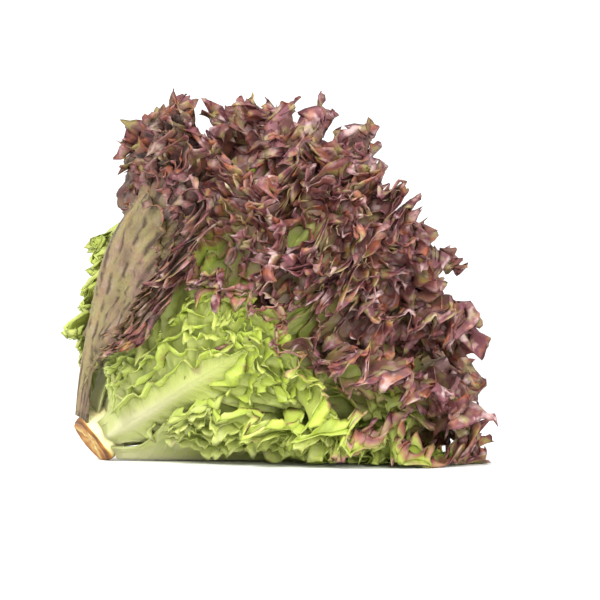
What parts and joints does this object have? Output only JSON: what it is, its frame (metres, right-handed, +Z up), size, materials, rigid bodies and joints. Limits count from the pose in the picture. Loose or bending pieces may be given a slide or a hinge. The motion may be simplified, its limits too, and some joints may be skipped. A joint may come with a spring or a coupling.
{
  "type": "lollo rosso lettuce",
  "caption": "Picked head of frilly red-leaved lettuce lying on its side, with green leaf bases, dark red frilled rims and a browned cut stem.",
  "frame": {"origin": "on the surface that the head lies on, below the middle of its bounding box", "axes": "+Z up, +X from the cut stem towards the frilled end, +Y away from the viewer of the picture"},
  "size_m": [0.2097, 0.1922, 0.1825],
  "materials": {
    "cut_stem": "pale wet plant core, cut end browned",
    "inner_leaf": "yellow-green leaf with a red-brown frilled rim, waxy satin",
    "middle_leaf": "green leaf turning dark red towards the frilled rim, waxy satin",
    "outer_leaf": "pale ribbed green and taupe leaf with a purple-brown frilled rim, waxy satin"
  },
  "bodies": {
    "root": {"stem": "cut_stem", "leaf_01": "inner_leaf", "leaf_02": "inner_leaf", "leaf_03": "inner_leaf", "leaf_04": "inner_leaf", "leaf_05": "inner_leaf", "leaf_06": "inner_leaf", "leaf_07": "inner_leaf", "leaf_08": "inner_leaf", "leaf_09": "middle_leaf", "leaf_10": "middle_leaf", "leaf_11": "middle_leaf", "leaf_12": "middle_leaf", "leaf_13": "middle_leaf", "leaf_14": "middle_leaf", "leaf_15": "middle_leaf", "leaf_16": "middle_leaf", "leaf_17": "middle_leaf", "leaf_18": "middle_leaf", "leaf_19": "outer_leaf", "leaf_20": "outer_leaf", "leaf_21": "outer_leaf", "leaf_22": "outer_leaf", "leaf_23": "outer_leaf", "leaf_24": "outer_leaf", "leaf_25": "outer_leaf", "leaf_26": "outer_leaf"}
  },
  "joints": []
}
